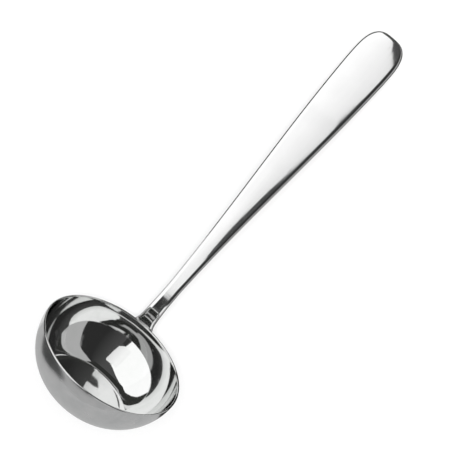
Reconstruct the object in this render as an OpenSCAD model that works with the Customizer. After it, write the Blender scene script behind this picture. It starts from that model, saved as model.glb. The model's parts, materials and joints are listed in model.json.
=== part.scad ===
// Soup ladle in two pieces of steel: a deep-drawn bowl and a curved handle whose foot is welded
// to the outside of the bowl's wall. Millimetres, +Z up.
// The pieces are shaped with the bowl upright, its rim in the plane z = 0 and the handle towards +Y.
// They are then laid down together, as the ladle lies on a table: on its foot and on its tip.

/* [Bowl] */
// Outside diameter of the bowl at the rim
bowl_diameter = 90; // [82:1:98]
// Radius of the side wall's curve, from the rim down to the knuckle
wall_radius = 36; // [34:1:38]
// Radius of the knuckle between the side wall and the floor
knuckle_radius = 20; // [15:1:24]
// Diameter of the flat that the bowl stands on
base_diameter = 24; // [18:1:28]
// Thickness of the bowl's sheet
sheet = 1.2; // [0.9:0.1:1.6]

/* [Handle] */
// Length of the handle along its curve, from the rim to the tip
handle_length = 224.5; // [190:0.5:250]
// Width of the neck where it is narrowest
neck_width = 8.8; // [8:0.2:11]
// Width of the grip where it is widest
grip_width = 27.4; // [23:0.2:31]
// Thickness of the neck
neck_thickness = 3.2; // [2.8:0.2:3.6]
// Thickness of the grip
grip_thickness = 3.8; // [3:0.2:4.4]
// Length of the rounded end of the grip
tip_length = 22; // [16:1:28]
// Turn of the bend that leans the handle away from the bowl, in degrees
bend_angle = 24; // [20:1:28]
// Turn of the long arch up the handle, in degrees
arch_angle = 14; // [8:1:18]
// Height of the crown across the face of the grip
crown_height = 0.25; // [0.15:0.05:0.6]

/* [Foot] */
// Width of the foot that is welded to the bowl
foot_width = 24; // [20:1:28]
// Length of the foot along the wall, down from the rim
foot_length = 24; // [22:1:27]
// Thickness of the foot
foot_thickness = 2; // [1.6:0.1:2.4]
// Width of the weld along the edge of the foot
weld_size = 1.4; // [1:0.1:2]

/* [Hidden] */

// Slope of the wall at the rim, at the top of the knuckle and at the edge of the floor, in degrees
rim_slope = 89;
knuckle_slope = 38;
floor_slope = 10;
// Space left between two pieces that the weld joins
seat_gap = 0.12;
// Height of the straight neck above the rim, and length of the bend that follows it
neck_rise = 4;
bend_length = 18;
// Height of the narrowest place above the rim, and distance from the widest place to the tip
waist_height = 30;
grip_end = 25;
// Power of the curve that rounds the grip's end into a soft square
tip_power = 3;
// Share of the widening, from the waist to the grip, that is even along the length
even_share = 0.45;
// Share of the foot's length that its rounded end takes up, and how far up the neck the foot flares
foot_round = 0.56;
flare_top = 11;
// Width of the rounded edges, as a share of the thickness
edge_share = 0.7;
// Height above the rim at which the handle's face is no longer hollowed to the bowl's curve
bow_height = 25;

// Centres of the arcs of the bowl's profile
wall_centre = [bowl_diameter / 2 - wall_radius * sin(rim_slope), wall_radius * cos(rim_slope)];
knuckle_centre = wall_centre + (wall_radius - knuckle_radius) * [sin(knuckle_slope), -cos(knuckle_slope)];
floor_edge = knuckle_centre + knuckle_radius * [sin(floor_slope), -cos(floor_slope)];
floor_radius = (floor_edge.x - base_diameter / 2) / sin(floor_slope);
floor_centre = floor_edge - floor_radius * [sin(floor_slope), -cos(floor_slope)];
bowl_depth = floor_radius - floor_centre.y;

function ease(t) = let (u = min(max(t, 0), 1)) u * u * (3 - 2 * u);

function backwards(list) = [for (i = [len(list) - 1 : -1 : 0]) list[i]];

// Points on an arc of a profile, from one slope to another, without the first one
function arc(centre, radius, from, to, steps) = [
    for (i = [1 : steps]) let (a = from + (to - from) * i / steps) centre + radius * [sin(a), -cos(a)]
];

// The bowl's profile, from the axis to the rim, at a depth into the sheet
function bowl_side(depth) = concat(
    [[0, depth - bowl_depth], [base_diameter / 2, depth - bowl_depth]],
    arc(floor_centre, floor_radius - depth, 0, floor_slope, 3),
    arc(knuckle_centre, knuckle_radius - depth, floor_slope, knuckle_slope, 5),
    arc(wall_centre, wall_radius - depth, knuckle_slope, rim_slope, 10)
);
lip_centre = wall_centre + (wall_radius - sheet / 2) * [sin(rim_slope), -cos(rim_slope)];
lip = arc(lip_centre, sheet / 2, rim_slope, rim_slope + 150, 5);

// Place reached on a curve that starts at a heading and turns evenly over a run
function follow(start, heading, turn, run) =
    start + run * 180 / (PI * turn) * [sin(heading + turn) - sin(heading), cos(heading) - cos(heading + turn)];

// The handle's spine lies in the plane of the bowl's axis. It is measured in millimetres up from the rim:
// below the rim it keeps to the bowl's wall, then it runs straight, bends back and arches to the tip.
bend_start = [bowl_diameter / 2, 0] + neck_rise * [cos(rim_slope), sin(rim_slope)];
arch_start = follow(bend_start, rim_slope, -bend_angle, bend_length);
arch_length = handle_length - neck_rise - bend_length;

function heading(s) =
    s < 0 ? rim_slope + s / wall_radius * 180 / PI :
    rim_slope
        - bend_angle * min(max((s - neck_rise) / bend_length, 0), 1)
        - arch_angle * max((s - neck_rise - bend_length) / arch_length, 0);

function spine(s) =
    s < 0 ? wall_centre + wall_radius * [sin(heading(s)), -cos(heading(s))] :
    s <= neck_rise ? [bowl_diameter / 2, 0] + s * [cos(rim_slope), sin(rim_slope)] :
    s <= neck_rise + bend_length ? follow(bend_start, rim_slope, heading(s) - rim_slope, s - neck_rise) :
    follow(arch_start, rim_slope - bend_angle, heading(s) - rim_slope + bend_angle, s - neck_rise - bend_length);

// Radius to which the handle's face is hollowed across its width
function bow(s) =
    s < 0 ? spine(s).x / sin(heading(s)) :
    bowl_diameter / 2 / max(1 - ease(s / bow_height), 0.001);

// Place of a point that lies x to the side, s up the spine and n out from the bowl
function place(x, s, n) =
    let (
        radius = bow(s),
        turn = x / radius * 180 / PI,
        out = (radius + n) * cos(turn) - radius,
        foot = spine(s)
    )
    [(radius + n) * sin(turn), foot.x + out * sin(heading(s)), foot.y - out * cos(heading(s))];

// Half the width of the foot, of the waist and of the grip at a distance up the spine
foot_round_start = foot_length * (1 - foot_round);

function foot_half(s) =
    foot_width / 2 * sqrt(max(1 - pow(max(-s - foot_round_start, 0) / (foot_length * foot_round), 2), 0));

function waist_half(s) =
    let (
        below = max(1 - s / waist_height, 0),
        above = min(max((s - waist_height) / (handle_length - grip_end - waist_height), 0), 1)
    )
    neck_width / 2 * (1 + 0.18 * below * below)
        + (grip_width - neck_width) / 2
            * (even_share * above + (1 - even_share) / 2 * (1 - cos(180 * above)));

function tip_share(s) =
    pow(max(1 - pow(max(s - handle_length + tip_length, 0) / tip_length, tip_power), 0), 1 / tip_power);

function half_width(s) =
    s < -foot_round_start ? foot_half(s) :
    let (flare = pow(1 - ease((s + foot_round_start) / (flare_top + foot_round_start)), 3))
    (waist_half(s) + (foot_width / 2 - waist_half(s)) * flare) * tip_share(s);

// Full thickness, and the share of it that is left where both ends are rounded over
function thickness(s) =
    foot_thickness
        + (neck_thickness - foot_thickness) * ease((s + 8) / 20)
        + (grip_thickness - neck_thickness) * ease((s - 20) / 100);

function end_share(s) =
    let (
        radius = thickness(s) / 2,
        past = max(s - handle_length + radius, -s - foot_length + radius, 0)
    )
    sqrt(max(1 - pow(past / radius, 2), 0));

// Height of the face above its edges
function crown(s) = crown_height * ease((s - 30) / 60) * end_share(s);

// One closed section of the handle: the face, an edge, the back and the other edge
function section(s) =
    let (
        width = half_width(s),
        half = thickness(s) / 2 * end_share(s),
        middle = seat_gap + thickness(s) / 2,
        edge = min(thickness(s) * edge_share, 0.6 * width),
        flat = width - edge,
        outline = concat(
            [for (step = [1 : -0.25 : -1]) [flat * step, middle - half - crown(s) * (1 - step * step)]],
            [for (a = [240 : -30 : 120]) [edge * cos(a) - flat, middle + half * sin(a)]],
            [for (step = [-1 : 0.5 : 1]) [flat * step, middle + half]],
            [for (a = [60 : -30 : -60]) [flat + edge * cos(a), middle + half * sin(a)]]
        )
    )
    [for (p = outline) place(p.x, s, p.y)];

// Places of the sections, close together where the outline or the spine turns quickly
stations = concat(
    [for (a = [8 : 9 : 80]) -foot_round_start - foot_length * foot_round * cos(a)],
    [for (i = [0 : 7]) -foot_round_start * (1 - i / 7)],
    [for (s = [1 : 1 : 10]) s],
    [for (s = [12 : 2 : neck_rise + bend_length + 6]) s],
    let (from = neck_rise + bend_length + 6, to = handle_length - tip_length)
        [for (i = [1 : 20]) from + (to - from) * i / 20],
    [for (a = [9 : 9 : 81]) handle_length - tip_length * (1 - sin(a))],
    [handle_length - 0.05]
);

// Faces of a skin over closed sections, with both ends shut
function skin(count, size) = concat(
    [[for (i = [size - 1 : -1 : 0]) i]],
    [
        for (j = [0 : count - 2], i = [0 : size - 1])
            let (k = (i + 1) % size, a = j * size, b = a + size)
            each [[a + i, a + k, b + i], [a + k, b + k, b + i]]
    ],
    [[for (i = [0 : size - 1]) (count - 1) * size + i]]
);

handle_sections = [for (s = stations) section(s)];
handle_points = [for (ring = handle_sections, p = ring) p];

// The weld follows the edge of the foot down one side, round its end and up the other side.
// Each place on it is [x, s] and the direction that points away from the foot.
weld_top = 2;

function edge_slope(s) = (half_width(s + 0.01) - half_width(s - 0.01)) / 0.02;

weld_side = [
    for (i = [0 : 7])
        let (s = -weld_top - (foot_round_start - weld_top) * i / 8, size = norm([1, edge_slope(s)]))
        [half_width(s), s, 1 / size, -edge_slope(s) / size]
];
weld_path = concat(
    weld_side,
    [
        for (a = [0 : 6 : 180])
            let (
                run = foot_length * foot_round,
                across = cos(a) * run,
                down = sin(a) * foot_width / 2,
                size = norm([across, down])
            )
            [foot_width / 2 * cos(a), -foot_round_start - run * sin(a), across / size, -down / size]
    ],
    [for (at = backwards(weld_side)) [-at[0], at[1], -at[2], at[3]]]
);

// Hollow fillet between the wall and the foot's edge, as out and up from the edge's foot
weld_section = concat(
    [[0, 0]],
    [for (t = [0 : 0.25 : 1]) [weld_size * pow(1 - t, 1.3), foot_thickness * 0.7 * pow(t, 1.3)]]
);

function weld_ring(at) = [
    for (p = weld_section)
        let (out = p.x + seat_gap)
        place(at[0] + at[2] * out, at[1] + at[3] * out, p.y + seat_gap)
];

// How far the ladle leans over when it lies on its foot and its tip, from the line that touches both
tip_radius = grip_thickness / 2;
tip_heading = heading(handle_length);
tip_centre = spine(handle_length - tip_radius)
    + (seat_gap + tip_radius) * [sin(tip_heading), -cos(tip_heading)];
foot_reach = wall_radius + seat_gap + foot_thickness;
rise = tip_centre - wall_centre;
rest_tilt = atan2(rise.y, rise.x) + asin((foot_reach - tip_radius) / norm(rise));

// Lowest point and both ends of the ladle once it lies down
function lying(y, z) = [y * cos(rest_tilt) + z * sin(rest_tilt), z * cos(rest_tilt) - y * sin(rest_tilt)];
bowl_outline = [for (p = concat(bowl_side(0), lip), side = [-1, 1]) lying(side * p.x, p.y)];
handle_outline = [for (p = handle_points) lying(p.y, p.z)];
all_points = concat(bowl_outline, handle_outline);
lowest = min([for (p = all_points) p.y]);
middle_y = (min([for (p = all_points) p.x]) + max([for (p = all_points) p.x])) / 2;

module at_rest() {
    translate([0, -middle_y, -lowest])
        rotate([-rest_tilt, 0, 0])
            children();
}

module bowl() {
    color([0.74, 0.75, 0.77])
        at_rest()
            rotate_extrude($fn = 90)
                polygon(concat(bowl_side(0), lip, backwards(bowl_side(sheet))));
}

module handle() {
    color([0.8, 0.8, 0.82])
        at_rest()
            polyhedron(points = handle_points, faces = skin(len(stations), len(handle_sections[0])));
}

module weld_seam() {
    color([0.66, 0.66, 0.68])
        at_rest()
            polyhedron(
                points = [for (at = weld_path) each weld_ring(at)],
                faces = skin(len(weld_path), len(weld_section))
            );
}

bowl();
handle();
weld_seam();
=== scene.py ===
import json
import math

import bpy
from mathutils import Matrix, Vector


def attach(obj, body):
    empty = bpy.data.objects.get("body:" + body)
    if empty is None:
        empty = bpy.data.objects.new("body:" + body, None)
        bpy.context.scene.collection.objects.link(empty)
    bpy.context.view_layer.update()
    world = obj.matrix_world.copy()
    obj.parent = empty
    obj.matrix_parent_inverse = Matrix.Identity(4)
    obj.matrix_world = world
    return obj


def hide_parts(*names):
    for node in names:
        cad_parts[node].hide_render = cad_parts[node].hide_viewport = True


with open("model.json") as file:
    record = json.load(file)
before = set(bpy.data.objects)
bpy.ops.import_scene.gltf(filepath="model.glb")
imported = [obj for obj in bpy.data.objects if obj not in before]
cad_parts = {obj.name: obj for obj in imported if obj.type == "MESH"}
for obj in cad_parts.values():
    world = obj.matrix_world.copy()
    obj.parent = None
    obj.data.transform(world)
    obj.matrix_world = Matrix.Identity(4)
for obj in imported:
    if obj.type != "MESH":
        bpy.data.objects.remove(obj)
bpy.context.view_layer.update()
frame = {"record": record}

# Bowl space: origin in the middle of the rim, Z up the bowl's axis, the handle towards +Y.
# The pieces are shaped there, as in the source, and pose lays them down as the ladle lies.
bowlShape = {
    "rimRadius": 0.045,
    "wallRadius": 0.036,  # of the side wall's curve
    "knuckleRadius": 0.020,  # between the side wall and the floor
    "baseRadius": 0.012,
    "sheet": 0.0012,
    "rimSlope": 89.0,
    "knuckleSlope": 38.0,
    "floorSlope": 10.0,
    "flatSteps": 8,  # points on the flat, the floor, the knuckle and the wall
    "floorSteps": 12,
    "knuckleSteps": 24,
    "wallSteps": 48,
    "lipStep": 15,  # degrees between the points of the rim's rounding
    "satinRows": 2,  # of the rim's rounding, the other rows are polished as the inside is
    "around": 256,
}


def slopeVector(degrees):  # outward normal of the profile where it climbs at this slope
    a = math.radians(degrees)
    return Vector((math.sin(a), -math.cos(a)))


def bowlArcs(shape):
    wall = Vector((shape["rimRadius"], 0)) - shape["wallRadius"] * slopeVector(shape["rimSlope"])
    knuckle = wall + (shape["wallRadius"] - shape["knuckleRadius"]) * slopeVector(shape["knuckleSlope"])
    floorEdge = knuckle + shape["knuckleRadius"] * slopeVector(shape["floorSlope"])
    radius = (floorEdge[0] - shape["baseRadius"]) / slopeVector(shape["floorSlope"])[0]
    return wall, knuckle, floorEdge - radius * slopeVector(shape["floorSlope"]), radius


wallMid, knuckleMid, floorMid, floorRadius = bowlArcs(bowlShape)
wallMid[1] = bowlShape["wallRadius"] * math.cos(math.radians(bowlShape["rimSlope"]))
bowlDepth = floorRadius - floorMid[1]

base = frame["record"]["mounts"][0]  # the bowl's flat base gives the tilt and the place of the whole ladle
restTilt = math.atan2(-base["axis"][1], -base["axis"][2])
bowlOrigin = Vector(base["pos_m"]) - bowlDepth * Vector(base["axis"])
pose = Matrix.Translation(bowlOrigin) @ Matrix.Rotation(-restTilt, 4, "X")

# The photo looks almost straight down on the ladle as it lies
cameraSetup = {
    "around": 4.0,
    "above": 29.48,  # degrees above the rim's plane, in bowl space
    "roll": 39.08,
    "pixelsPerMm": 1.765,
    "rimPixel": (112.1, 354.57),  # where the middle of the rim falls in the picture
    "distance": 1.3,
    "frame": 450,
    "sensor": 36,
    "clipEnd": 20,
}


def makeCamera(setup):
    around, above, roll = (math.radians(setup[k]) for k in ("around", "above", "roll"))
    toward = Vector((math.sin(around) * math.cos(above), -math.cos(around) * math.cos(above),
                     math.sin(above)))
    level = Vector((math.cos(around), math.sin(around), 0))
    upright = toward.cross(level)
    right = math.cos(roll) * level + math.sin(roll) * upright
    up = math.cos(roll) * upright - math.sin(roll) * level
    scale = setup["pixelsPerMm"] * 1000
    half = setup["frame"] / 2
    shiftX = (setup["rimPixel"][0] - half) / scale
    shiftY = (half - setup["rimPixel"][1]) / scale
    place = toward * setup["distance"] - right * shiftX - up * shiftY
    turn = Matrix((right, up, toward)).transposed().to_4x4()
    data = bpy.data.cameras.new("camera")
    data.sensor_fit = "HORIZONTAL"
    data.sensor_width = setup["sensor"]
    data.lens = scale * setup["distance"] / setup["frame"] * setup["sensor"]
    data.clip_end = setup["clipEnd"]
    camera = bpy.data.objects.new("camera", data)
    camera.matrix_world = pose @ Matrix.Translation(place) @ turn
    bpy.context.scene.collection.objects.link(camera)
    bpy.context.scene.camera = camera


makeCamera(cameraSetup)
print("camera placed")


# Short ways to write node trees
def node(tree, kind, **settings):
    made = tree.nodes.new(kind)
    for name, value in settings.items():
        setattr(made, name, value)
    return made


def wire(tree, source, target):  # a link, or a plain value set on the socket
    if isinstance(source, (int, float, tuple)):
        target.default_value = source
    else:
        tree.links.new(source, target)


def calc(tree, operation, *values):
    made = node(tree, "ShaderNodeMath", operation=operation)
    for i, value in enumerate(values):
        wire(tree, value, made.inputs[i])
    return made.outputs[0]


def add(tree, *values):
    total = values[0]
    for value in values[1:]:
        total = calc(tree, "ADD", total, value)
    return total


def times(tree, *values):
    total = values[0]
    for value in values[1:]:
        total = calc(tree, "MULTIPLY", total, value)
    return total


def less(tree, a, b):
    return calc(tree, "SUBTRACT", a, b)


def split(tree, vector):
    made = node(tree, "ShaderNodeSeparateXYZ")
    tree.links.new(vector, made.inputs[0])
    return made.outputs["X"], made.outputs["Y"], made.outputs["Z"]


def join(tree, x, y, z):
    made = node(tree, "ShaderNodeCombineXYZ")
    for value, socket in zip((x, y, z), made.inputs):
        wire(tree, value, socket)
    return made.outputs[0]


def noise(tree, vector, scale, detail=2.0, rough=0.5):
    made = node(tree, "ShaderNodeTexNoise")
    for label, value in (("Scale", scale), ("Detail", detail), ("Roughness", rough)):
        made.inputs[label].default_value = value
    tree.links.new(vector, made.inputs["Vector"])
    return made.outputs["Fac"]


def spread(tree, value, low, high, start=0.3, end=0.7):  # maps a pattern onto a range
    made = node(tree, "ShaderNodeMapRange")
    for label, number in (("From Min", start), ("From Max", end), ("To Min", low), ("To Max", high)):
        made.inputs[label].default_value = number
    tree.links.new(value, made.inputs["Value"])
    return made.outputs["Result"]


# Finishes of the steel
def bowlPlace(tree):  # object coordinates turned into bowl space
    coords = node(tree, "ShaderNodeTexCoord")
    mapping = node(tree, "ShaderNodeMapping", vector_type="POINT")
    inverse = pose.inverted()
    mapping.inputs["Location"].default_value = inverse.to_translation()
    mapping.inputs["Rotation"].default_value = inverse.to_euler("XYZ")
    tree.links.new(coords.outputs["Object"], mapping.inputs["Vector"])
    return mapping.outputs["Vector"]


steelGrain = {  # the same for every finish
    "smudgeDetail": 4.0,
    "smudgeRough": 0.6,
    "lineDetail": 3.0,
    "lineRough": 0.7,
    "scratchStretch": 4,
    "scratchDetail": 1.0,
    "scratchFrom": 0.68,  # the noise level at which a scratch begins, and at which it is full
    "scratchFull": 0.74,
    "swellDetail": 1.0,
    "leastRoughness": 0.02,
    "axisGap": 0.0001,  # keeps the turning lines from meeting on the bowl's axis
}


def turningPlace(tree, stretch):  # changes fast across the bowl's turning lines and slowly along them
    x, y, z = split(tree, bowlPlace(tree))
    radius = calc(tree, "SQRT", add(tree, times(tree, x, x), times(tree, y, y)))
    away = calc(tree, "MAXIMUM", radius, steelGrain["axisGap"])
    return join(tree, times(tree, calc(tree, "DIVIDE", x, away), stretch),
                times(tree, calc(tree, "DIVIDE", y, away), stretch), less(tree, radius, z))


def handlePlace(tree, stretch):  # along and across the handle, from its UV map
    uv = node(tree, "ShaderNodeUVMap", uv_map="UVMap")
    along, across, _ = split(tree, uv.outputs["UV"])
    return join(tree, times(tree, along, stretch), across, 0.0)


def steelFinish(name, look, linePlace):
    material = bpy.data.materials.new(name)
    material.use_nodes = True
    tree = material.node_tree
    shader = tree.nodes["Principled BSDF"]
    shader.inputs["Metallic"].default_value = 1.0
    place = bowlPlace(tree)
    smudge = noise(tree, place, look["smudgeScale"], steelGrain["smudgeDetail"], steelGrain["smudgeRough"])
    lines = noise(tree, linePlace(tree, look["lineStretch"]), look["lineScale"],
                  steelGrain["lineDetail"], steelGrain["lineRough"])
    scratches = noise(tree, linePlace(tree, look["lineStretch"] * steelGrain["scratchStretch"]),
                      look["scratchScale"], steelGrain["scratchDetail"])
    scratchMask = spread(tree, scratches, 0.0, 1.0, steelGrain["scratchFrom"], steelGrain["scratchFull"])
    lowest, highest = look["roughness"]
    rough = add(tree, spread(tree, smudge, lowest, highest),
                times(tree, less(tree, lines, 0.5), look["lineRough"]),
                times(tree, scratchMask, look["scratchRough"]))
    rough = calc(tree, "MAXIMUM", rough, steelGrain["leastRoughness"])
    tree.links.new(rough, shader.inputs["Roughness"])
    tint = node(tree, "ShaderNodeMix", data_type="RGBA")
    wire(tree, spread(tree, smudge, 0.0, 1.0), tint.inputs[0])
    tint.inputs[6].default_value = (*look["darkTint"], 1)
    tint.inputs[7].default_value = (*look["lightTint"], 1)
    tree.links.new(tint.outputs[2], shader.inputs["Base Color"])
    swell = noise(tree, place, look["swellScale"], steelGrain["swellDetail"])
    height = add(tree, times(tree, swell, look["swellHeight"]),
                 times(tree, lines, look["lineHeight"]),
                 times(tree, scratchMask, -look["scratchDepth"]))
    bump = node(tree, "ShaderNodeBump")
    bump.inputs["Strength"].default_value = 1.0
    bump.inputs["Distance"].default_value = 1.0
    tree.links.new(height, bump.inputs["Height"])
    tree.links.new(bump.outputs["Normal"], shader.inputs["Normal"])
    return material


# Lengths are in metres: polishing lines a fraction of a micron deep, swells of a few microns in the sheet
insideLook = {
    "smudgeScale": 70, "roughness": (0.03, 0.07),
    "darkTint": (0.75, 0.76, 0.75), "lightTint": (0.80, 0.80, 0.80),
    "lineStretch": 0.002, "lineScale": 2200, "lineRough": 0.03, "lineHeight": 1e-7,
    "scratchScale": 900, "scratchRough": 0.10, "scratchDepth": 4e-7,
    "swellScale": 55, "swellHeight": 1.2e-5,
}
outsideLook = {
    "smudgeScale": 90, "roughness": (0.17, 0.23),
    "darkTint": (0.62, 0.63, 0.63), "lightTint": (0.72, 0.72, 0.72),
    "lineStretch": 0.002, "lineScale": 1800, "lineRough": 0.08, "lineHeight": 5e-7,
    "scratchScale": 700, "scratchRough": 0.06, "scratchDepth": 1e-6,
    "swellScale": 55, "swellHeight": 3e-6,
}
handleLook = {
    "smudgeScale": 60, "roughness": (0.05, 0.10),
    "darkTint": (0.80, 0.80, 0.80), "lightTint": (0.84, 0.84, 0.84),
    "lineStretch": 0.03, "lineScale": 2500, "lineRough": 0.03, "lineHeight": 1e-7,
    "scratchScale": 1100, "scratchRough": 0.08, "scratchDepth": 3e-7,
    "swellScale": 40, "swellHeight": 2e-6,
}
weldLook = {
    "smudgeScale": 500, "roughness": (0.16, 0.34),
    "darkTint": (0.50, 0.48, 0.45), "lightTint": (0.70, 0.70, 0.69),
    "lineStretch": 1.0, "lineScale": 3000, "lineRough": 0.10, "lineHeight": 4e-6,
    "scratchScale": 2500, "scratchRough": 0.10, "scratchDepth": 2e-6,
    "swellScale": 900, "swellHeight": 3e-5,
}
bowlInside = steelFinish("bowlInside", insideLook, turningPlace)
bowlOutside = steelFinish("bowlOutside", outsideLook, turningPlace)
handleSteel = steelFinish("handleSteel", handleLook, handlePlace)
weldSteel = steelFinish("weldSteel", weldLook, handlePlace)
print("steel finishes made")


# Geometry trees start from a sheet of rows and columns, which each tree rolls up in its own way
seamGap = 1e-6  # points closer than this are joined


def startTree(name, numbers):
    tree = bpy.data.node_groups.new(name, "GeometryNodeTree")
    face = tree.interface
    face.new_socket("Geometry", in_out="INPUT", socket_type="NodeSocketGeometry")
    face.new_socket("Geometry", in_out="OUTPUT", socket_type="NodeSocketGeometry")
    for label, kind in numbers.items():
        face.new_socket(label, in_out="INPUT", socket_type="NodeSocket" + kind)
    return tree, tree.nodes.new("NodeGroupInput"), tree.nodes.new("NodeGroupOutput")


def sheetOfRows(tree, rows, columns):
    grid = node(tree, "GeometryNodeMeshGrid")
    wire(tree, add(tree, columns, 1), grid.inputs["Vertices X"])
    wire(tree, rows, grid.inputs["Vertices Y"])
    x, y, _ = split(tree, node(tree, "GeometryNodeInputPosition").outputs[0])
    column = calc(tree, "ROUND", times(tree, add(tree, x, 0.5), columns))
    row = calc(tree, "ROUND", times(tree, add(tree, y, 0.5), less(tree, rows, 1)))
    keep = node(tree, "GeometryNodeCaptureAttribute", domain="POINT")
    keep.capture_items.new("FLOAT", "row")
    keep.capture_items.new("FLOAT", "column")
    tree.links.new(grid.outputs["Mesh"], keep.inputs["Geometry"])
    tree.links.new(row, keep.inputs["row"])
    tree.links.new(column, keep.inputs["column"])
    return keep.outputs["Geometry"], keep.outputs["row"], keep.outputs["column"]


def pick(tree, geometry, index, label=None):  # a point's position, or a number stored on it
    kind = "FLOAT" if label else "FLOAT_VECTOR"
    made = node(tree, "GeometryNodeSampleIndex", data_type=kind, domain="POINT")
    if label:
        source = node(tree, "GeometryNodeInputNamedAttribute", data_type="FLOAT")
        source.inputs["Name"].default_value = label
        tree.links.new(source.outputs["Attribute"], made.inputs["Value"])
    else:
        tree.links.new(node(tree, "GeometryNodeInputPosition").outputs[0], made.inputs["Value"])
    tree.links.new(geometry, made.inputs["Geometry"])
    tree.links.new(index, made.inputs["Index"])
    return made.outputs["Value"]


def objectPoints(tree, socket):
    made = node(tree, "GeometryNodeObjectInfo", transform_space="ORIGINAL")
    tree.links.new(socket, made.inputs["Object"])
    return made.outputs["Geometry"]


def rollUp(tree, geometry, position, uv=None):  # moves the sheet's points and closes its seams and poles
    if uv:
        store = node(tree, "GeometryNodeStoreNamedAttribute", data_type="FLOAT2", domain="CORNER")
        store.inputs["Name"].default_value = "UVMap"
        tree.links.new(geometry, store.inputs["Geometry"])
        tree.links.new(uv, store.inputs["Value"])
        geometry = store.outputs["Geometry"]
    move = node(tree, "GeometryNodeSetPosition")
    tree.links.new(geometry, move.inputs["Geometry"])
    tree.links.new(position, move.inputs["Position"])
    close = node(tree, "GeometryNodeMergeByDistance")
    close.inputs["Distance"].default_value = seamGap
    tree.links.new(move.outputs[0], close.inputs["Geometry"])
    real = node(tree, "GeometryNodeRealizeInstances")
    tree.links.new(close.outputs[0], real.inputs[0])
    return real.outputs[0]


def setSteel(tree, geometry, material, selection=None):
    made = node(tree, "GeometryNodeSetMaterial")
    tree.links.new(geometry, made.inputs["Geometry"])
    tree.links.new(material, made.inputs["Material"])
    if selection:
        tree.links.new(selection, made.inputs["Selection"])
    return made.outputs[0]


def pointObject(name, points, numbers=None):
    mesh = bpy.data.meshes.new(name)
    mesh.from_pydata(points, [], [])
    for label, values in (numbers or {}).items():
        mesh.attributes.new(label, "FLOAT", "POINT").data.foreach_set("value", values)
    made = bpy.data.objects.new(name, mesh)
    bpy.context.scene.collection.objects.link(made)
    return made


def makePiece(name, holder, tree, inputs, nodeName):  # runs the tree once and keeps a plain mesh
    modifier = holder.modifiers.new("shape", "NODES")
    modifier.node_group = tree
    for item in tree.interface.items_tree:
        if item.in_out == "INPUT" and item.name in inputs:
            modifier[item.identifier] = inputs[item.name]
    holder.update_tag()
    graph = bpy.context.evaluated_depsgraph_get()
    mesh = bpy.data.meshes.new_from_object(holder.evaluated_get(graph), depsgraph=graph)
    holder.modifiers.remove(modifier)
    for used in [holder] + [v for v in inputs.values() if isinstance(v, bpy.types.Object)]:
        bpy.data.objects.remove(used)
    mesh.name = name
    mesh.transform(pose)
    if mesh.materials[0] is None:
        mesh.materials.pop(index=0)
    mesh.shade_smooth()
    mesh.update()
    piece = bpy.data.objects.new(name, mesh)
    bpy.context.scene.collection.objects.link(piece)
    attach(piece, "root")
    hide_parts(nodeName)
    return piece


# Bowl: its profile is turned once round the axis
def bowlSide(shape, depth):
    def arc(mid, radius, first, last, steps):
        return [mid + radius * slopeVector(first + (last - first) * i / steps) for i in range(1, steps + 1)]

    steps = shape["flatSteps"]
    flat = [Vector((shape["baseRadius"] * i / steps, depth - bowlDepth)) for i in range(steps + 1)]
    return (flat
            + arc(floorMid, floorRadius - depth, 0, shape["floorSlope"], shape["floorSteps"])
            + arc(knuckleMid, shape["knuckleRadius"] - depth, shape["floorSlope"], shape["knuckleSlope"],
                  shape["knuckleSteps"])
            + arc(wallMid, shape["wallRadius"] - depth, shape["knuckleSlope"], shape["rimSlope"],
                  shape["wallSteps"]))


def turnedTree():
    tree, given, result = startTree("turnedProfile", {
        "Around": "Int", "Along": "Int", "Inside From": "Int", "Outside": "Material", "Inside": "Material"})
    sheet, row, column = sheetOfRows(tree, given.outputs["Along"], given.outputs["Around"])
    turn = times(tree, calc(tree, "DIVIDE", column, given.outputs["Around"]), 2 * math.pi)
    radius, _, height = split(tree, pick(tree, given.outputs["Geometry"], row))
    place = join(tree, times(tree, radius, calc(tree, "SINE", turn)),
                 times(tree, radius, calc(tree, "COSINE", turn)), height)
    skin = rollUp(tree, sheet, place)
    skin = setSteel(tree, skin, given.outputs["Outside"])
    inside = calc(tree, "GREATER_THAN", row, given.outputs["Inside From"])
    skin = setSteel(tree, skin, given.outputs["Inside"], inside)
    tree.links.new(skin, result.inputs[0])
    return tree


def makeBowl(shape):
    outer = bowlSide(shape, 0)
    inner = bowlSide(shape, shape["sheet"])
    half = shape["sheet"] / 2
    lipMid = wallMid + (shape["wallRadius"] - half) * slopeVector(shape["rimSlope"])
    turns = range(shape["lipStep"], 180, shape["lipStep"])
    lip = [lipMid + half * slopeVector(shape["rimSlope"] + a) for a in turns]
    points = [(p[0], 0, p[1]) for p in outer + lip + inner[::-1]]
    return makePiece("steelBowl", pointObject("bowlProfile", points), turnedTree(), {
        "Around": shape["around"], "Along": len(points), "Inside From": len(outer) + shape["satinRows"],
        "Outside": bowlOutside, "Inside": bowlInside}, "bowl")


bowl = makeBowl(bowlShape)
print("bowl turned:", len(bowl.data.polygons), "faces")

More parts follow.
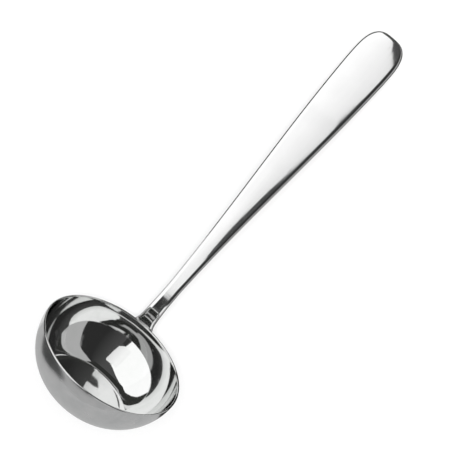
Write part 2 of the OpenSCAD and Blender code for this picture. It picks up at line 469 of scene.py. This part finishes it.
# Handle: one section is swept up a spine, with its own width, thickness and crown at each place
handleShape = {
    "length": 0.2245,
    "neckWidth": 0.0088,
    "gripWidth": 0.0274,
    "rimSpread": 0.18,  # how much wider than the waist the neck is at the rim
    "neckThickness": 0.0032,
    "gripThickness": 0.0038,
    "neckThickening": (-0.008, 0.020),  # where it begins up the spine, and over what length
    "gripThickening": (0.020, 0.100),
    "tipLength": 0.022,
    "tipPower": 3,
    "evenShare": 0.45,  # of the widening from the waist to the grip
    "bend": 24.0,  # degrees, leaning the handle away from the bowl
    "arch": 14.0,
    "crown": 0.00025,
    "crowning": (0.030, 0.060),
    "edgeShare": 0.7,  # width of the rounded edges as a share of the thickness
    "edgeWidthLimit": 0.6,
    "neckRise": 0.004,
    "bendLength": 0.018,
    "waistHeight": 0.030,
    "gripEnd": 0.025,
    "bowHeight": 0.025,  # above it the face is no longer hollowed to the bowl's curve
    "leastBow": 0.001,
    "footWidth": 0.024,
    "footLength": 0.024,
    "footThickness": 0.002,
    "footRound": 0.56,
    "flareTop": 0.011,
    "seat": 0.00012,
    "footStep": 3,  # degrees
    "tipStep": 1.5,
    "faceSteps": 30,
    "edgeSteps": 20,
    "neckSteps": 120,
    "gripSteps": 150,
}


# What is stored at each place up the spine
handleLabels = ("along", "slope", "flat", "edge", "half", "middle", "crown", "bow")


def ease(t):
    u = min(max(t, 0), 1)
    return u * u * (3 - 2 * u)


def easeAlong(s, run):
    start, length = run
    return ease((s - start) / length)


def footStart(h):
    return h["footLength"] * (1 - h["footRound"])


def heading(h, s):
    if s < 0:
        return bowlShape["rimSlope"] + math.degrees(s / bowlShape["wallRadius"])
    past = s - h["neckRise"]
    archLength = h["length"] - h["neckRise"] - h["bendLength"]
    return (bowlShape["rimSlope"] - h["bend"] * min(max(past / h["bendLength"], 0), 1)
            - h["arch"] * max((past - h["bendLength"]) / archLength, 0))


def spinePlaces(h, stations):  # below the rim the spine keeps to the wall, above it small steps are walked
    places = [wallMid + bowlShape["wallRadius"] * slopeVector(heading(h, s)) for s in stations if s < 0]
    spot, s, step = Vector((bowlShape["rimRadius"], 0.0)), 0.0, 0.0001
    for target in (t for t in stations if t >= 0):
        while s < target - 1e-9:
            move = min(step, target - s)
            a = math.radians(heading(h, s + move / 2))
            spot = spot + move * Vector((math.cos(a), math.sin(a)))
            s += move
        places.append(spot.copy())
    return places


def thickness(h, s):
    return (h["footThickness"] + (h["neckThickness"] - h["footThickness"]) * easeAlong(s, h["neckThickening"])
            + (h["gripThickness"] - h["neckThickness"]) * easeAlong(s, h["gripThickening"]))


def halfWidth(h, s):
    start = footStart(h)
    if s < -start:
        past = (-s - start) / (h["footLength"] * h["footRound"])
        return h["footWidth"] / 2 * math.sqrt(max(1 - past * past, 0))
    below = max(1 - s / h["waistHeight"], 0)
    above = min(max((s - h["waistHeight"]) / (h["length"] - h["gripEnd"] - h["waistHeight"]), 0), 1)
    even = h["evenShare"]
    waist = (h["neckWidth"] / 2 * (1 + h["rimSpread"] * below * below) + (h["gripWidth"] - h["neckWidth"]) / 2
             * (even * above + (1 - even) / 2 * (1 - math.cos(math.pi * above))))
    flare = (1 - ease((s + start) / (h["flareTop"] + start))) ** 3
    past = max(s - h["length"] + h["tipLength"], 0) / h["tipLength"]
    tip = max(1 - past ** h["tipPower"], 0) ** (1 / h["tipPower"])
    return (waist + (h["footWidth"] / 2 - waist) * flare) * tip


def endShare(h, s):
    radius = thickness(h, s) / 2
    past = max(s - h["length"] + radius, -s - h["footLength"] + radius, 0)
    return math.sqrt(max(1 - (past / radius) ** 2, 0))


def handleStations(h):
    start, tipStart = footStart(h), h["length"] - h["tipLength"]
    waist, rounding = h["waistHeight"], h["footLength"] * h["footRound"]
    tipTurns = [math.radians(i * h["tipStep"]) for i in range(1, int(90 / h["tipStep"]) + 1)]
    foot = [-start - rounding * math.cos(math.radians(a)) for a in range(0, 90, h["footStep"])]
    neck = [-start + (waist + start) * i / h["neckSteps"] for i in range(h["neckSteps"] + 1)]
    grip = [waist + (tipStart - waist) * i / h["gripSteps"] for i in range(1, h["gripSteps"] + 1)]
    tip = [tipStart + h["tipLength"] * math.sin(t) for t in tipTurns]
    return foot + neck + grip + tip


def bowRadius(h, s, out):  # the face is hollowed to the wall's curve below the rim and flattens out above it
    if s < 0:
        return out / math.sin(math.radians(heading(h, s)))
    return bowlShape["rimRadius"] / max(1 - ease(s / h["bowHeight"]), h["leastBow"])


def handleNumbers(h, stations, places):
    numbers = {k: [] for k in handleLabels}
    for s, place in zip(stations, places):
        width, thick, share = halfWidth(h, s), thickness(h, s), endShare(h, s)
        edge = min(thick * h["edgeShare"], h["edgeWidthLimit"] * width)
        slope = math.radians(heading(h, s))
        crown = h["crown"] * easeAlong(s, h["crowning"]) * share
        row = (s, slope, width - edge, edge, thick / 2 * share, h["seat"] + thick / 2, crown,
               bowRadius(h, s, place[0]))
        for values, number in zip(numbers.values(), row):
            values.append(number)
    return numbers


def handleSection(h):  # the place across the flat and the direction on the rounded edge, the face first
    faces, edges = h["faceSteps"], h["edgeSteps"]
    turns = [math.radians(180 * i / edges) for i in range(1, edges)]
    face = [(1 - 2 * i / faces, 0.0, -1.0) for i in range(faces + 1)]
    left = [(-1.0, -math.sin(a), -math.cos(a)) for a in turns]
    back = [(-1 + 2 * i / faces, 0.0, 1.0) for i in range(faces + 1)]
    right = [(1.0, math.sin(a), math.cos(a)) for a in turns]
    return face + left + back + right, [1.0] * len(face) + [0.0] * (len(left + back + right))


def wrapped(tree, x, out, bow, slope, placeY, placeZ):  # a place beside the spine, on a bowed face
    turn = calc(tree, "DIVIDE", x, bow)
    reach = add(tree, bow, out)
    drop = less(tree, times(tree, reach, calc(tree, "COSINE", turn)), bow)
    return join(tree, times(tree, reach, calc(tree, "SINE", turn)),
                add(tree, placeY, times(tree, drop, calc(tree, "SINE", slope))),
                less(tree, placeZ, times(tree, drop, calc(tree, "COSINE", slope))))


def sweptTree():
    tree, given, result = startTree("sweptBar", {
        "Rows": "Int", "Columns": "Int", "Section": "Object", "Steel": "Material"})
    spine, count = given.outputs["Geometry"], given.outputs["Columns"]
    sheet, row, column = sheetOfRows(tree, given.outputs["Rows"], count)
    section = objectPoints(tree, given.outputs["Section"])
    place = calc(tree, "MODULO", column, count)
    across, side, height = split(tree, pick(tree, section, place))
    onFace = pick(tree, section, place, "onFace")
    along, slope, flat, edge, half, middle, crown, bow = (
        pick(tree, spine, row, k) for k in handleLabels)
    _, placeY, placeZ = split(tree, pick(tree, spine, row))
    x = add(tree, times(tree, flat, across), times(tree, edge, side))
    rise = times(tree, crown, less(tree, 1.0, times(tree, across, across)), onFace)
    out = less(tree, add(tree, middle, times(tree, half, height)), rise)
    skin = rollUp(tree, sheet, wrapped(tree, x, out, bow, slope, placeY, placeZ), join(tree, along, x, 0.0))
    tree.links.new(setSteel(tree, skin, given.outputs["Steel"]), result.inputs[0])
    return tree


def makeHandle(h):
    stations = handleStations(h)
    places = spinePlaces(h, stations)
    spine = pointObject("handleSpine", [(0, *p) for p in places], handleNumbers(h, stations, places))
    points, onFace = handleSection(h)
    section = pointObject("handleSection", points, {"onFace": onFace})
    return makePiece("steelHandle", spine, sweptTree(), {
        "Rows": len(stations), "Columns": len(points), "Section": section, "Steel": handleSteel},
        "handle")


handle = makeHandle(handleShape)
print("handle swept:", len(handle.data.polygons), "faces")

# Weld: a hollow fillet that follows the foot's edge over the bowl's wall, with the ripples of its laying
weldShape = {
    "size": 0.0014,
    "rise": 0.7,  # of the foot's thickness
    "hollow": 1.3,
    "top": 0.002,  # how far below the rim it ends
    "ripple": 0.05,
    "ripplePitch": 0.0011,
    "sideSteps": 60,
    "endSteps": 180,
    "sectionSteps": 14,
    "leanStep": 1e-5,  # for the direction of the foot's edge
}
weldLabels = ("edgeX", "edgeS", "awayX", "awayS")


def weldPath(w, h):  # a place on the foot's edge and the way off it, down one side and up the other
    start, run = footStart(h), h["footLength"] * h["footRound"]
    right = []
    for i in range(w["sideSteps"]):
        s = -w["top"] - (start - w["top"]) * i / w["sideSteps"]
        lean = (halfWidth(h, s + w["leanStep"]) - halfWidth(h, s - w["leanStep"])) / (2 * w["leanStep"])
        size = math.hypot(1, lean)
        right.append((halfWidth(h, s), s, 1 / size, -lean / size))
    end, half = [], h["footWidth"] / 2
    for i in range(w["endSteps"] + 1):
        t = math.pi * i / w["endSteps"]
        away, down = math.cos(t) * run, math.sin(t) * half
        size = math.hypot(away, down)
        end.append((half * math.cos(t), -start - run * math.sin(t), away / size, -down / size))
    return right + end + [(-x, s, -dx, ds) for x, s, dx, ds in reversed(right)]


def weldTree():
    tree, given, result = startTree("weldFillet", {
        "Rows": "Int", "Columns": "Int", "Section": "Object", "Ripple": "Float", "Ripple Pitch": "Float",
        "Seat": "Float", "Steel": "Material"})
    path, count = given.outputs["Geometry"], given.outputs["Columns"]
    sheet, row, column = sheetOfRows(tree, given.outputs["Rows"], count)
    section = objectPoints(tree, given.outputs["Section"])
    away, up, _ = split(tree, pick(tree, section, calc(tree, "MODULO", column, count)))
    edgeX, edgeS, awayX, awayS, along = (pick(tree, path, row, k) for k in (*weldLabels, "along"))
    turns = calc(tree, "DIVIDE", along, given.outputs["Ripple Pitch"])
    wave = calc(tree, "SINE", times(tree, turns, 2 * math.pi))
    swell = add(tree, 1.0, times(tree, wave, given.outputs["Ripple"]))
    reach = add(tree, times(tree, away, swell), given.outputs["Seat"])
    x = add(tree, edgeX, times(tree, awayX, reach))
    s = add(tree, edgeS, times(tree, awayS, reach))
    slope = add(tree, math.radians(bowlShape["rimSlope"]), calc(tree, "DIVIDE", s, bowlShape["wallRadius"]))
    placeY = add(tree, wallMid[0], times(tree, calc(tree, "SINE", slope), bowlShape["wallRadius"]))
    placeZ = less(tree, wallMid[1], times(tree, calc(tree, "COSINE", slope), bowlShape["wallRadius"]))
    bow = calc(tree, "DIVIDE", placeY, calc(tree, "SINE", slope))
    out = add(tree, times(tree, up, swell), given.outputs["Seat"])
    place = wrapped(tree, x, out, bow, slope, placeY, placeZ)
    skin = rollUp(tree, sheet, place, join(tree, along, reach, 0.0))
    tree.links.new(setSteel(tree, skin, given.outputs["Steel"]), result.inputs[0])
    return tree


def makeWeld(w, h):
    path = weldPath(w, h)
    path = [path[0]] + path + [path[-1]]  # the doubled ends shrink to a point
    along, total = [], 0.0
    for before, after in zip([path[0]] + path, path):
        total += math.dist(before[:2], after[:2])
        along.append(total)
    numbers = {k: [p[i] for p in path] for i, k in enumerate(weldLabels)}
    numbers["along"] = along
    steps, rise = w["sectionSteps"], h["footThickness"] * w["rise"]
    points = [(0.0, 0.0, 0.0)] + [
        (w["size"] * (1 - i / steps) ** w["hollow"], rise * (i / steps) ** w["hollow"], 0.0)
        for i in range(steps + 1)]
    section = pointObject("weldSection", points)
    return makePiece("weldFillet", pointObject("weldPath", [(0, 0, 0)] * len(path), numbers), weldTree(), {
        "Rows": len(path), "Columns": len(points), "Section": section, "Ripple": w["ripple"],
        "Ripple Pitch": w["ripplePitch"], "Seat": h["seat"], "Steel": weldSteel}, "weld_seam")


weld = makeWeld(weldShape, handleShape)
print("weld laid:", len(weld.data.polygons), "faces")

# Floor: pale, and it keeps the ladle's shadow, made lighter as in the photo
floorLook = {
    "reach": 4.0,
    "colour": (0.93, 0.93, 0.93),
    "roughness": 0.9,
    "lift": 0.6,  # share of plain white that the camera and the reflections see
}


def makeFloor(look):
    r = look["reach"]
    mesh = bpy.data.meshes.new("floor")
    mesh.from_pydata([(-r, -r, 0), (r, -r, 0), (r, r, 0), (-r, r, 0)], [], [(0, 1, 2, 3)])
    floor = bpy.data.objects.new("floor", mesh)
    bpy.context.scene.collection.objects.link(floor)
    material = bpy.data.materials.new("floorPaint")
    material.use_nodes = True
    tree = material.node_tree
    paint = tree.nodes["Principled BSDF"]
    paint.inputs["Base Color"].default_value = (*look["colour"], 1)
    paint.inputs["Roughness"].default_value = look["roughness"]
    paint.inputs["Specular IOR Level"].default_value = 0.0
    white = node(tree, "ShaderNodeEmission")
    white.inputs["Strength"].default_value = 1.0
    ray = node(tree, "ShaderNodeLightPath")
    seen = calc(tree, "MAXIMUM", ray.outputs["Is Camera Ray"],
                calc(tree, "MAXIMUM", ray.outputs["Is Glossy Ray"], ray.outputs["Is Transmission Ray"]))
    mix = node(tree, "ShaderNodeMixShader")
    wire(tree, times(tree, seen, look["lift"]), mix.inputs[0])
    tree.links.new(paint.outputs[0], mix.inputs[1])
    tree.links.new(white.outputs[0], mix.inputs[2])
    tree.links.new(mix.outputs[0], tree.nodes["Material Output"].inputs["Surface"])
    mesh.materials.append(material)


makeFloor(floorLook)

# Studio: a white softbox up on the left, a dark ceiling and dark walls round it, a white card over the handle
# and papers on the floor, among them a painted shadow of the ladle round the handle and a painted patch of
# lit floor. Only the steel's reflections see them. The lamp and the room light the floor.
studio = {
    "room": 0.50,
    "lampPlace": (0.2, 0.1, 2.2),
    "lampSize": 2.4,
    "lampPower": 62,
    "ceiling": 1.05,  # heights of the flat cards
    "softbox": 1.03,
    "handleCard": 0.37,
    "windowTop": 0.20,  # under it the far wall is open
    "lowWall": 0.4,
    "firstPaper": 0.0003,
    "paperGap": 0.0001,
    "softboxWall": -1.5,
}
cardLooks = {  # two strengths and a span: it changes along X from the one to the other
    "softbox": {"strength": (1.26, 0.96), "span": (-0.20, 0.06)},
    "softboxWall": {"strength": 1.22},
    "sideCard": {"strength": 0.976},
    "handleCard": {"strength": (1.17, 0.90), "span": (-0.06, 0.035)},
    "neckFlag": {"strength": 0.04},
    "ceiling": {"strength": (0.085, 0.03), "span": (0.0, 0.6)},
    "black": {"strength": 0.035, "colour": (0.97, 1.0, 0.94)},
    "corner": {"strength": 0.07},
    "greyPaper": {"strength": 0.55},
    "litFloorPaint": {"strength": 0.85},
}


def card(name, corners, look):  # only glossy rays see it
    mesh = bpy.data.meshes.new(name)
    mesh.from_pydata(corners, [], [tuple(range(len(corners)))])
    made = bpy.data.objects.new(name, mesh)
    bpy.context.scene.collection.objects.link(made)
    material = bpy.data.materials.new(name)
    material.use_nodes = True
    tree = material.node_tree
    tree.nodes.remove(tree.nodes["Principled BSDF"])
    glow = node(tree, "ShaderNodeEmission")
    glow.inputs["Color"].default_value = (*look.get("colour", (1, 1, 1)), 1)
    if "span" in look:
        x, _, _ = split(tree, node(tree, "ShaderNodeTexCoord").outputs["Object"])
        wire(tree, spread(tree, x, *look["strength"], *look["span"]), glow.inputs["Strength"])
    else:
        glow.inputs["Strength"].default_value = look["strength"]
    tree.links.new(glow.outputs[0], tree.nodes["Material Output"].inputs["Surface"])
    mesh.materials.append(material)
    made.visible_camera = False
    made.visible_diffuse = False
    made.visible_shadow = False
    made.visible_transmission = False
    made.visible_volume_scatter = False


def flatCard(name, outline, height, look):
    card(name, [(x, y, height) for x, y in outline], cardLooks[look])


def paper(name, outline, layer, look):  # lies on the floor, a higher layer covers a lower one
    flatCard(name, outline, studio["firstPaper"] + layer * studio["paperGap"], look)


def wallCard(name, start, end, low, high, look):
    card(name, [(*start, low), (*end, low), (*end, high), (*start, high)], cardLooks[look])


flatCard("softbox", [
    (-1.5, -1.7), (-0.36, -1.7), (-0.16, -0.69), (-0.11, -0.37), (-0.06, -0.08), (-0.01, 0.15),
    (0.050, 0.36), (0.075, 0.57), (-0.05, 0.64), (-0.24, 0.84), (-0.57, 1.45), (-1.0, 2.1),
    (-1.25, 2.3), (-1.5, 2.38),
], studio["softbox"], "softbox")
flatCard("sideCard", [(0.34, -1.7), (1.5, -1.7), (1.5, -0.5), (0.34, -0.5)], studio["softbox"], "sideCard")
flatCard("darkCeiling", [
    (-0.75, -2.4), (0.75, -2.4), (0.40, -0.45), (2.14, -0.45), (2.14, -0.11), (1.8, 0.77),
    (1.52, 1.51), (0.9, 2.47), (0.5, 4.4), (-4.0, 4.4), (-4.0, 2.2), (-1.4, 2.2), (-0.40, 1.0),
], studio["ceiling"], "ceiling")
softboxSide = [(-1.7, 0.22), (0.9, 0.22), (1.17, 0.33), (1.5, 0.44), (2.1, 0.55), (2.35, 0.85),
               (2.38, 1.03), (-1.7, 1.03)]
card("softboxWall", [(studio["softboxWall"], y, z) for y, z in softboxSide], cardLooks["softboxWall"])
wallCard("darkWallLeft", (-1.52, -1.7), (-1.52, 2.4), 0.0, studio["ceiling"], "black")
wallCard("darkWallFar", (-1.55, 2.4), (-0.9, 2.4), 0.0, studio["ceiling"], "black")
wallCard("darkWallFarTop", (-0.9, 2.4), (0.35, 2.4), studio["windowTop"], studio["ceiling"], "black")
paper("darkCorner", [(-0.11, -0.20), (-0.22, -0.12), (-1.5, -0.7), (-1.5, -1.7), (-0.8, -1.7)], 3, "corner")
wallCard("darkWallNear", (-1.48, -0.8), (-0.6, -1.68), 0.0, studio["lowWall"], "corner")
paper("floorCard", [(-2, -2), (2, -2), (2, 2.4), (-2, 2.4)], 0, "greyPaper")
paper("darkFloor", [(-0.2, -0.2), (-0.2, 0.3), (-0.9, 2.4), (-1.5, 2.4), (-1.5, -0.9)], 1, "black")
# Painted light: a brighter patch of lit floor beside the ladle, which only the steel's reflections see
paper("lightFloor", [(-0.2, -0.13), (-0.025, -0.13), (-0.025, 0.06), (-0.13, 0.13), (-0.2, 0.1)],
      2, "litFloorPaint")
# Painted shadow: a black sheet where the ladle's shadow falls under the neck and right of the handle, which
# only the steel's reflections see
paper("darkApron", [(-0.02, -0.12), (0.1, -0.12), (0.1, 0.2), (-0.02, 0.2)], 3, "black")
flatCard("handleCard", [
    (-0.10, -0.13), (-0.022, -0.13), (0.018, -0.09), (0.028, 0.0), (0.034, 0.15), (0.026, 0.175),
    (-0.10, 0.175),
], studio["handleCard"], "handleCard")
flatCard("neckFlag", [(-0.027, -0.132), (-0.032, -0.30), (0.01, -0.30), (0.01, -0.132)],
         studio["handleCard"], "neckFlag")
# Painted shadow: a black sheet for the shaded floor left of the handle, which only the steel's reflections
# see, so the handle's edges look dark
paper("darkStrip", [(-0.2, -0.02), (-0.02, -0.02), (-0.02, 0.2), (-0.2, 0.2)], 3, "black")


def makeLamp(setup):
    data = bpy.data.lights.new("lamp", "AREA")
    data.shape = "SQUARE"
    data.size = setup["lampSize"]
    data.energy = setup["lampPower"]
    lamp = bpy.data.objects.new("lamp", data)
    lamp.location = setup["lampPlace"]
    lamp.visible_glossy = False
    bpy.context.scene.collection.objects.link(lamp)


makeLamp(studio)
world = bpy.data.worlds.new("room")
bpy.context.scene.world = world
world.use_nodes = True
backdrop = world.node_tree.nodes["Background"]
backdrop.inputs["Color"].default_value = (1, 1, 1, 1)
backdrop.inputs["Strength"].default_value = studio["room"]
bpy.context.scene.view_settings.view_transform = "Standard"
print("studio set")
